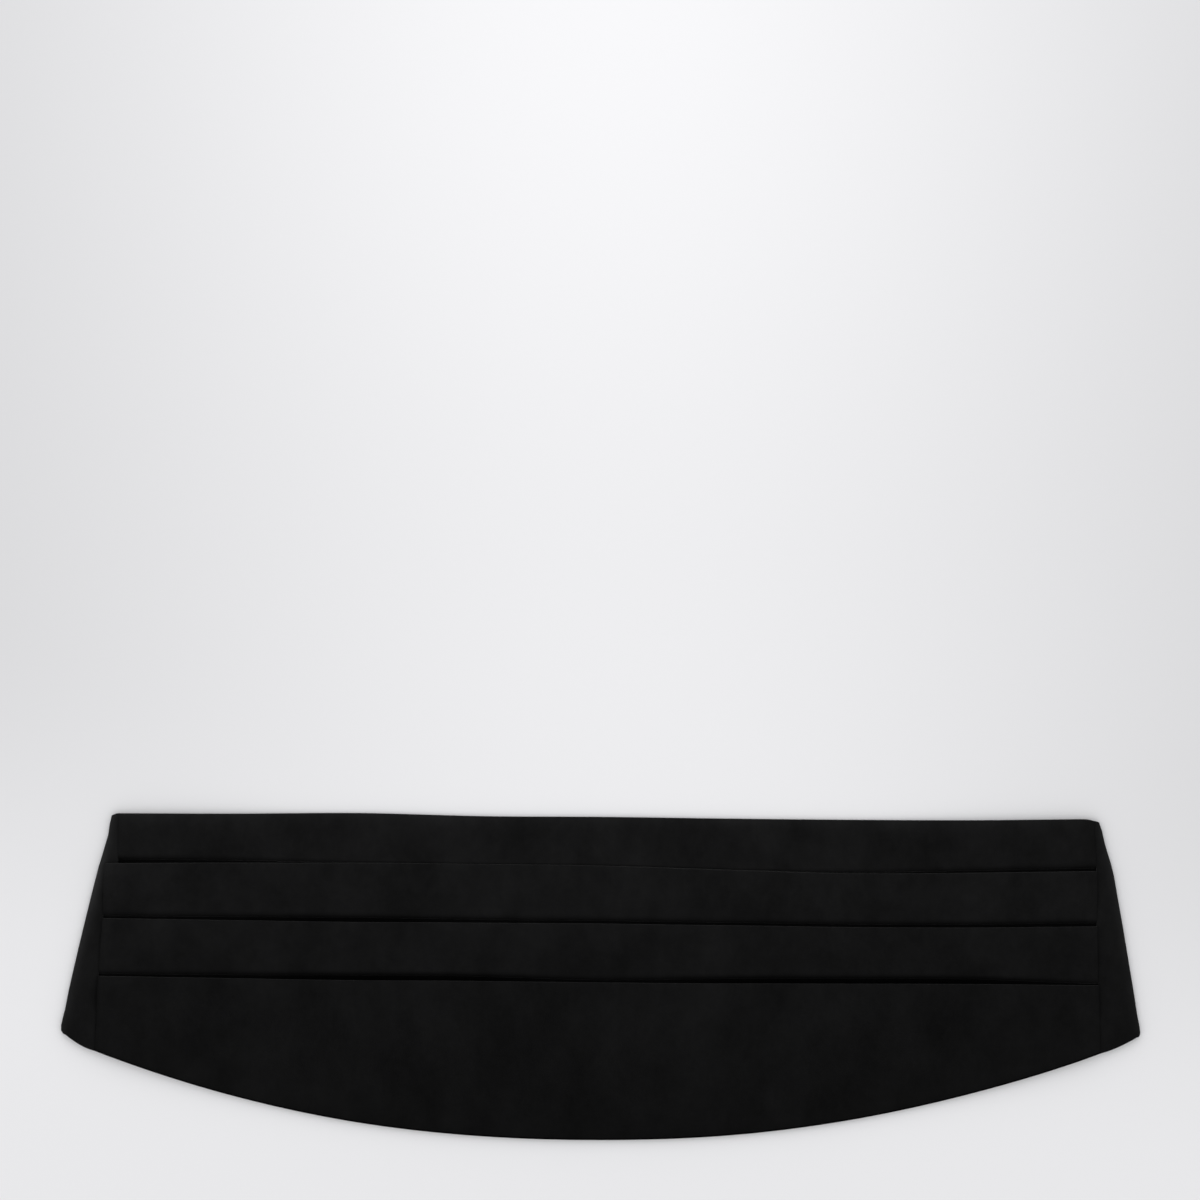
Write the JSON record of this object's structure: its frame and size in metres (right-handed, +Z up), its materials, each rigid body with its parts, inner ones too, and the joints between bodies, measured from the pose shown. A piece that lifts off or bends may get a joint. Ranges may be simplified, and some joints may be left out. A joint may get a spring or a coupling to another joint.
{
  "type": "cummerbund",
  "caption": "Pleated waist sash for evening dress, fastened behind and laid flat: a front with upward pleats, side panels folded under, and back straps on a clasp.",
  "frame": {"origin": "on the surface that the cummerbund lies on, under the middle of its outline", "axes": "+Z up from the surface, out of the pleated front; +X across the waist, to the right as the front is seen; +Y up the body, towards the top edge"},
  "size_m": [0.45, 0.1361, 0.0077],
  "materials": {
    "cloth": "matt black finely woven cloth",
    "clasp_metal": "plain satin nickel"
  },
  "bodies": {
    "root": {"pleated_front": "cloth", "left_side_panel": "cloth", "right_side_panel": "cloth", "left_back_strap": "cloth", "right_back_strap": "cloth", "clasp": "clasp_metal"}
  },
  "joints": []
}
